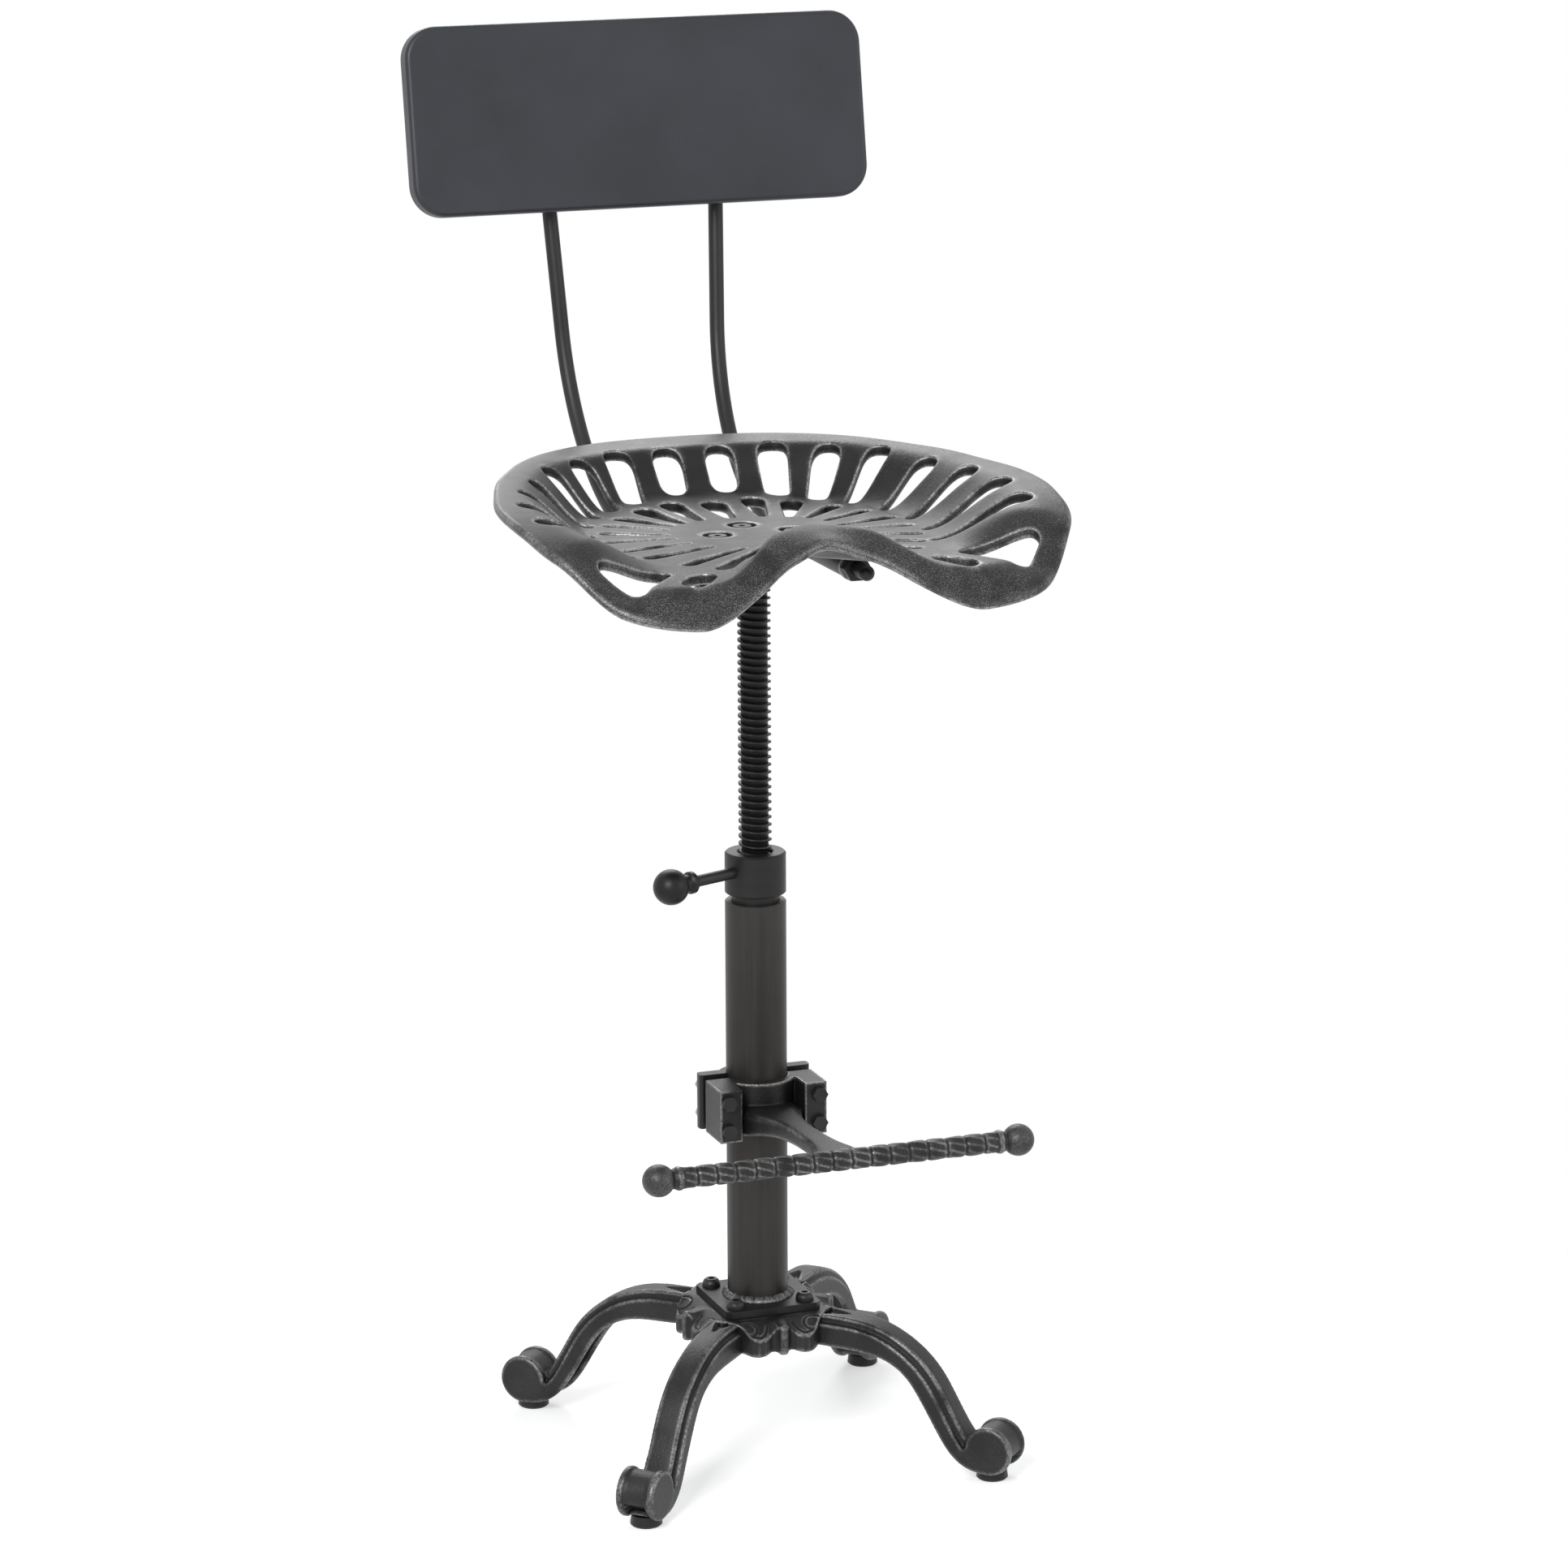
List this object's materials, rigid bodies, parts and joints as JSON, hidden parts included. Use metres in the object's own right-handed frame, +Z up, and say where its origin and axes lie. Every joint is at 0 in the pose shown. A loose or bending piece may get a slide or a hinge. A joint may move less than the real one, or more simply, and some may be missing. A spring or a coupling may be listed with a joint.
{
  "type": "tractor seat stool",
  "caption": "Height-adjustable stool with a pierced cast tractor seat on a screw column, curved-rod backrest, clamped foot bar and a scroll-footed four-leg cast base",
  "frame": {"origin": "centre of the bounding box's bottom face, on the floor; the column axis is 53 mm ahead of it", "axes": "+Z up along the column, -Y the front, where the foot bar and the seat's pommel are, +X to the viewer's right"},
  "size_m": [0.4338, 0.5152, 1.1075],
  "materials": {
    "cast": "dark sand-cast iron with rubbed lighter edges",
    "rubber": "black, matt",
    "zinc": "zinc plated",
    "black_steel": "black oxide",
    "brushed_tube": "dark brushed steel, clear coated",
    "dark_steel": "dark grey, satin",
    "thread": "black, oiled",
    "panel": "slate grey, satin, rubbed lighter at the edges",
    "nylon": "natural nylon"
  },
  "bodies": {
    "column": {"base_casting": "cast", "glide_front_left": "rubber", "glide_front_right": "rubber", "glide_back_left": "rubber", "glide_back_right": "rubber", "glide_screws": "zinc", "column_base_plate": "dark_steel", "column_weld": "dark_steel", "base_bolts": "black_steel", "base_washers": "black_steel", "column_tube": "brushed_tube", "tube_bush": "brushed_tube"},
    "collar": {"lock_collar": "brushed_tube", "lock_lever_rod": "dark_steel", "lock_lever_knob": "dark_steel"},
    "guide": {"spindle_guide": "nylon"},
    "seat_top": {"spindle": "thread", "guide_washer": "zinc", "guide_bolt": "zinc", "seat_flange": "dark_steel", "rod_sleeve_left": "brushed_tube", "rod_sleeve_right": "brushed_tube", "sleeve_screws": "zinc", "seat": "cast", "seat_bolts": "black_steel", "seat_nuts": "zinc", "backrest_rod_left": "dark_steel", "backrest_rod_right": "dark_steel", "rod_nuts": "black_steel", "rod_washers": "zinc", "backrest_panel": "panel", "rod_socket_left": "dark_steel", "rod_socket_right": "dark_steel", "panel_screws": "zinc"},
    "footrest": {"footrest_clamp_front": "cast", "footrest_clamp_back": "cast", "clamp_bolts": "black_steel", "clamp_nuts": "zinc", "footrest_bar": "cast"}
  },
  "joints": [
    {"name": "seat_height", "type": "slide", "parent": "column", "child": "guide", "axis": [0, 0, 1], "range_m": [-0.097, 0.085]},
    {"name": "seat_spin", "type": "hinge", "parent": "guide", "child": "seat_top", "pos_m": [0, -0.053, 0.726], "axis": [0, 0, 1], "range_deg": [-5760, 5040]},
    {"name": "collar_turn", "type": "hinge", "parent": "column", "child": "collar", "pos_m": [0, -0.053, 0.47], "axis": [0, 0, 1], "range_deg": [-45, 45]},
    {"name": "footrest_slide", "type": "slide", "parent": "column", "child": "footrest", "axis": [0, 0, 1], "range_m": [-0.1, 0.12]}
  ],
  "couplings": [
    {"joint": "seat_height", "follows": "seat_spin", "m_per_rad": 0.00095493}
  ]
}
